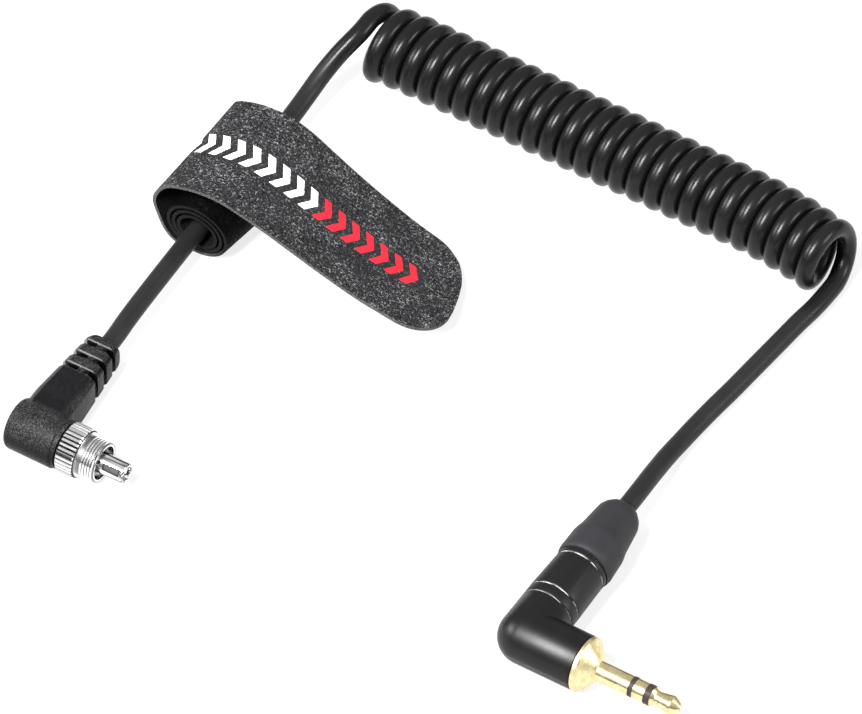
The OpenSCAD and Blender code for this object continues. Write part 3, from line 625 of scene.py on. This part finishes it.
def pick(piece):
    """Selects only this piece, and makes it active."""
    bpy.ops.object.select_all(action="DESELECT")
    piece.select_set(True)
    bpy.context.view_layer.objects.active = piece


def new_piece(name, data):
    """A new object with this mesh or curve, picked."""
    piece = bpy.data.objects.new(name, data)
    bpy.context.collection.objects.link(piece)
    pick(piece)
    return piece


def blend_by_nearest(piece, spots, weights):
    """Looks up, for every point of a piece, the blend weight of the nearest of these spots, but
    keeps none of them.
    """
    tree = KDTree(len(spots))
    for i, spot in enumerate(spots):
        tree.insert(spot, i)
    tree.balance()
    found = [weights[tree.find(point.co)[1]] for point in piece.data.vertices]


# ---------------------------------------------------------------- cord

def curl_point(turn):
    """A point of the curls, so many turns after the first one's top."""
    first, final = max(0, 1 - turn), max(0, turn - CURLS_END + 1)
    pull = (
        PULL_IN * max(0, 1 - turn / PULL_IN_TURNS) ** 2
        + PULL_OUT * max(0, 1 - (CURLS_END - turn) / PULL_OUT_TURNS) ** 2
    )
    return (
        CURL_START + turn * CURL_PITCH + END_GAP * (final ** 2 - first ** 2),
        CURL_BACK - pull + CURL_R * sin(2 * pi * turn),
        CURL_Z + CURL_R * cos(2 * pi * turn),
    )


def make_cord():
    steps = int(POINTS_PER_CURL * CURLS_END)
    curls = [curl_point(i / POINTS_PER_CURL) for i in range(steps + 1)]
    curl_out = Vector(curls[-1]) - Vector((0, CORD_D, 0))
    start = Vector(SYNC_EXIT)
    before = [start, start + CORD_D * Vector(TAIL_WAY), *map(Vector, SYNC_ROUTE)]
    after = [Vector((JACK_X + x, y, z)) for x, y, z in JACK_ROUTE]
    points = [place(p) for p in (*before, *curls, curl_out, *reversed(after), Vector(JACK_EXIT))]
    line, places = smooth_line(points, CORD_STEP)
    curve = bpy.data.curves.new("cord", "CURVE")
    curve.dimensions = "3D"
    curve.bevel_depth = CORD_D / 2 * MM
    curve.bevel_resolution = 8
    curve.use_fill_caps = True
    spline = curve.splines.new("POLY")
    spline.points.add(len(line) - 1)
    for point, spot in zip(spline.points, line):
        point.co = (*spot, 1)
    new_piece("cord", curve)
    bpy.ops.object.convert(target="MESH")
    cord = bpy.context.object
    cord.name = "cord"
    bpy.ops.object.shade_smooth_by_angle(angle=CORD_EDGE)
    cord.data.materials.clear()
    cord.data.materials.append(jacket_finish())
    length = lengths_along(line)[-1]
    place(curls[0])
    place(curls[-1])
    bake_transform(cord)
    blend_by_nearest(cord, line, [clamp((spot - len(before)) / steps) for spot in places])
    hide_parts("cord_sync_end", "curly_cord", "cord_jack_end")
    return cord


# ---------------------------------------------------------------- strap

def roll_point(turn, far):
    """X and Z of the rolled part, so many turns out from its heart, at its near or far edge."""
    a = radians(ROLL_START - 360 * turn)
    out = turn / ROLL_TURNS
    r = ROLL_R + ROLL_GROWTH * turn + far * ROLL_FLARE * out
    return (
        ROLL_X + far * ROLL_LEAN * out + ROLL_WIDER * r * cos(a),
        STRAP_T / 2 + ROLL_LIFT * (ROLL_TURNS - turn) + r * (1 + sin(a)),
    )


def strap_outline(far, rest):
    """The strap's middle line along one edge, from the heart of the roll to the flap's end."""
    steps = int(ROLL_STEPS * ROLL_TURNS)
    roll = [roll_point(i / ROLL_STEPS, far) for i in range(steps + 1)]
    return [Vector((x, 0, z)) for x, z in (*roll, *rest)]


def corner_inset(x, reach):
    """How far the strap's two sides draw in at its rounded end."""
    over = x - (FLAP_NEAR[-1][0] - FLAP_CORNER)
    if over <= 0 or reach <= ROUND_FROM:
        return 0
    inset = FLAP_CORNER - sqrt(max(0, FLAP_CORNER ** 2 - over ** 2))
    return min(STRAP_W / 2 - FLAP_TIP, inset)


def make_strap():
    outline = strap_outline(0, (*LOOP_NEAR, *FLAP_NEAR))
    near_line, places = smooth_line(outline, STRAP_STEP)
    far_line = line_at(strap_outline(1, (*LOOP_FAR, *FLAP_FAR)), places)
    along = lengths_along([(a + b) / 2 for a, b in zip(near_line, far_line)])
    verts, faces, spots = [], [], []
    for near, far, reach in zip(near_line, far_line, along):
        inset = corner_inset(near.x, reach)
        for k in range(ACROSS + 1):
            y = inset + (STRAP_W - 2 * inset) * k / ACROSS
            spot = near.lerp(far, y / STRAP_W)
            verts.append(place((spot.x, STRAP_FRONT + y, spot.z)))
            spots.append((reach / UV_MM, y / UV_MM))
    for i in range(len(near_line) - 1):
        for k in range(ACROSS):
            a = i * (ACROSS + 1) + k
            faces.append((a, a + ACROSS + 1, a + ACROSS + 2, a + 1))
    mesh = bpy.data.meshes.new("cable tie")
    mesh.from_pydata(verts, [], faces)
    cut = mesh.uv_layers.new(name="cut")
    for loop in mesh.loops:
        cut.data[loop.index].uv = spots[loop.vertex_index]
    for material in (pile_finish(), hook_finish(), edge_finish()):
        mesh.materials.append(material)
    strap = new_piece("cable_tie", mesh)
    wall = strap.modifiers.new("thickness", "SOLIDIFY")
    wall.thickness = STRAP_T * MM
    wall.offset = 0
    wall.material_offset = 1
    wall.material_offset_rim = 2
    bpy.ops.object.modifier_apply(modifier=wall.name)
    bpy.ops.object.shade_smooth_by_angle(angle=STRAP_EDGE)

    # blend weights for a bend where the loop's points end and the flap's begin, worked out but not
    # kept
    hinge = place(FLAP_HINGE)
    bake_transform(strap)
    turn_at = len(outline) - len(FLAP_NEAR) - 0.5
    hinge_reach = next(reach for reach, spot in zip(along, places) if spot >= turn_at)
    weights = []
    for reach, _ in spots:
        t = clamp((reach * UV_MM - hinge_reach + BEND_HALF) / (2 * BEND_HALF))
        weights.append(t * t * (3 - 2 * t))
    blend_by_nearest(strap, verts, weights)
    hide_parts("tie_roll", "tie_loop", "tie_flap")
    STRAP_W * MM


# ---------------------------------------------------------------- turned and moulded pieces

def finished_copy(node, name, body, edge):
    """A joined copy of a node, its hard edges kept, with a small round of this width on them."""
    slot = slots[node]
    piece = new_piece(name, nodes[node].data.copy())
    bpy.ops.mesh.customdata_custom_splitnormals_clear()
    bpy.ops.object.mode_set(mode="EDIT")
    bpy.ops.mesh.select_all(action="SELECT")
    bpy.ops.mesh.remove_doubles(threshold=JOIN)
    bpy.ops.mesh.dissolve_limited(angle_limit=FLAT)
    bpy.ops.object.mode_set(mode="OBJECT")
    if edge:
        round_off = piece.modifiers.new("round", "BEVEL")
        round_off.width = edge * MM
        round_off.segments = 2
        round_off.limit_method = "ANGLE"
        round_off.angle_limit = PLUG_EDGE
        bpy.ops.object.modifier_apply(modifier=round_off.name)
    bpy.ops.object.shade_smooth_by_angle(angle=PLUG_EDGE)
    piece.data.materials.clear()
    piece.data.materials.append(finishes[slot])
    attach(piece, body)
    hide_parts(node)


# ---------------------------------------------------------------- studio

# Each lamp's name, place and size, in metres, and its power; they all point at one spot
LAMPS = (
    ("top", (-0.07, -0.58, 0.8), (0.15, 0.44), 26),
    ("left", (-0.7, -0.35, 0.45), (0.4, 0.3), 6),
    ("right", (0.85, 0.25, 0.4), (0.4, 0.3), 5),
)
LIT_SPOT = Vector((0, 0.02, 0))
FLOOR_SIZE = 30
# How high a look goes at each end of a change, and how bright the studio is there: a pale
# ceiling over dark walls, and below them the floor's own tone, to carry it on
CEILING = (0.12, 0.36, 0.02, 0.66)
FLOOR_BEYOND = (-0.02, -0.01, 0.94, 0)


def studio():
    room = Shading(bpy.data.worlds.new("studio"), "Background", Color=(1, 1, 1, 1))
    _, _, height = room.axes(room.spots("Generated"))
    glow = height.over(*CEILING) + height.over(*FLOOR_BEYOND)
    bpy.context.scene.world = room.wear(Strength=glow)
    bpy.context.scene.view_settings.view_transform = "Standard"

    bpy.ops.object.select_all(action="DESELECT")
    bpy.ops.mesh.primitive_plane_add(size=FLOOR_SIZE)
    floor = bpy.context.object
    floor.name = "floor"
    finish = Finish("pale floor", Roughness=0.9, Specular_IOR_Level=0.1, Emission_Strength=0.8)
    cloud = finish.noise(40, 2)
    floor.data.materials.append(
        finish.wear(
            Base_Color=finish.mix(cloud, grey(0.18), grey(0.19)),
            Emission_Color=finish.mix(cloud, grey(0.98), grey(1)),
        )
    )

    for name, spot, size, power in LAMPS:
        turn = (Vector(spot) - LIT_SPOT).to_track_quat("Z", "Y").to_euler()
        bpy.ops.object.light_add(type="AREA", location=spot, rotation=turn)
        lamp = bpy.context.object
        lamp.name = name
        lamp.data.shape = "RECTANGLE"
        lamp.data.size, lamp.data.size_y = size
        lamp.data.energy = power


# ---------------------------------------------------------------- making

aim_camera()
cord = make_cord()
make_strap()

finishes = {
    "overmould": moulding_finish(),
    "premould": plastic_finish("natural polymer", (0.6, 0.57, 0.48, 1), (0.7, 0.67, 0.58, 1)),
    "nickel": nickel_finish(),
    "insulator": plastic_finish(
        "grey insulator", grey(0.03), grey(0.11), rough=0.6, depth=0.02, shine=0.05
    ),
    "contact_gold": gold_finish(),
    "signal_wire": plastic_finish("red wire", (0.5, 0.03, 0.03, 1), (0.6, 0.05, 0.04, 1), 0.3),
    "ground_wire": plastic_finish("white wire", grey(0.7), grey(0.8), 0.3),
    "cord_jacket": cord.data.materials[0],
    "black_shell": shell_finish(),
    "chuck": plastic_finish("chuck", grey(0.03), grey(0.045), 0.5),
    "boot": boot_finish(),
    "band": plastic_finish(
        "black band", (0.02, 0.015, 0.012, 1), (0.04, 0.03, 0.024, 1), 0.35, 0.15, shine=0.15
    ),
    "tin": tin_finish(),
}
for name, slot in slots.items():
    if slot in finishes:
        nodes[name].data.materials.clear()
        nodes[name].data.materials.append(finishes[slot])

for node, name, body, edge in (
    ("sync_overmould", "sync_moulding", "cable", 0.07),
    ("sync_contact_tube", "sync_tube", "cable", 0.04),
    ("lock_ring", "lock_ring_turned", "screw_ring", 0.0),
    ("jack_elbow", "jack_elbow_shell", "jack_end", 0.04),
    ("jack_elbow_cover", "jack_cover_shell", "jack_end", 0.04),
    ("jack_barrel", "jack_barrel_shell", "jack_end", 0.04),
    ("jack_boot", "jack_boot_skin", "jack_end", 0.0),
):
    finished_copy(node, name, body, edge)

studio()
